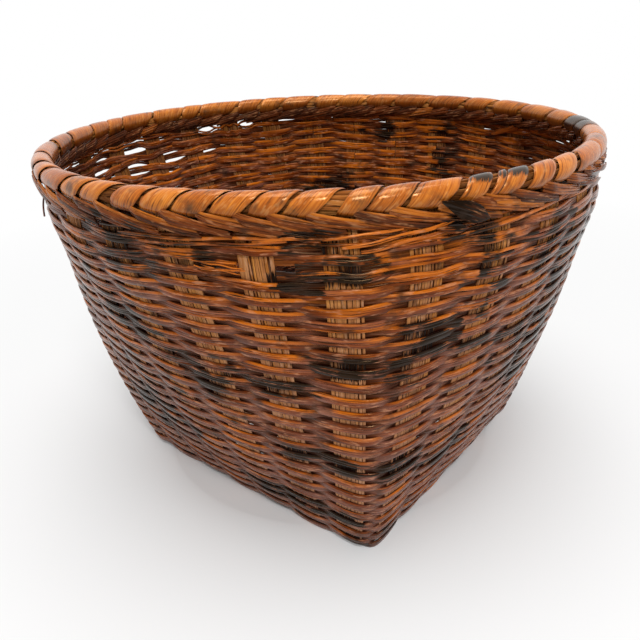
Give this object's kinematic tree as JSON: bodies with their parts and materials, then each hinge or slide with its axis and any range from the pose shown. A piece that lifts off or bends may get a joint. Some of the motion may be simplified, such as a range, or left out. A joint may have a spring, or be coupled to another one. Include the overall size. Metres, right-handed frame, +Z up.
{
  "type": "storage basket",
  "caption": "Woven splint storage basket with a square base, a wall that rounds as it rises, and a lashed round rim.",
  "frame": {"origin": "on the floor, under the middle of the rim", "axes": "+Z up out of the open mouth; +X and +Y square to the sides of the base"},
  "size_m": [0.374, 0.374, 0.24],
  "materials": {
    "stake_splint": "dry split wood under old varnish, lengthwise grain",
    "weft_strand": "varnished, semi-gloss, with smoke-dark patches",
    "rim_core": "fibrous, satin",
    "rim_lashing": "varnished, glossy, fine lengthwise lines",
    "rim_braid": "varnished, semi-gloss, fibrous edges"
  },
  "bodies": {
    "root": {"splint_x_1": "stake_splint", "splint_x_2": "stake_splint", "splint_x_3": "stake_splint", "splint_x_4": "stake_splint", "splint_x_5": "stake_splint", "splint_x_6": "stake_splint", "splint_x_7": "stake_splint", "splint_y_1": "stake_splint", "splint_y_2": "stake_splint", "splint_y_3": "stake_splint", "splint_y_4": "stake_splint", "splint_y_5": "stake_splint", "splint_y_6": "stake_splint", "splint_y_7": "stake_splint", "weft_01": "weft_strand", "weft_02": "weft_strand", "weft_03": "weft_strand", "weft_04": "weft_strand", "weft_05": "weft_strand", "weft_06": "weft_strand", "weft_07": "weft_strand", "weft_08": "weft_strand", "weft_09": "weft_strand", "weft_10": "weft_strand", "weft_11": "weft_strand", "weft_12": "weft_strand", "weft_13": "weft_strand", "weft_14": "weft_strand", "weft_15": "weft_strand", "weft_16": "weft_strand", "weft_17": "weft_strand", "top_strand_1": "weft_strand", "top_strand_2": "weft_strand", "rim_hoop_outer": "rim_core", "rim_hoop_inner": "rim_core", "rim_filler": "rim_core", "rim_lashing": "rim_lashing", "rim_braid_outer": "rim_braid", "rim_braid_inner": "rim_braid"}
  },
  "joints": []
}
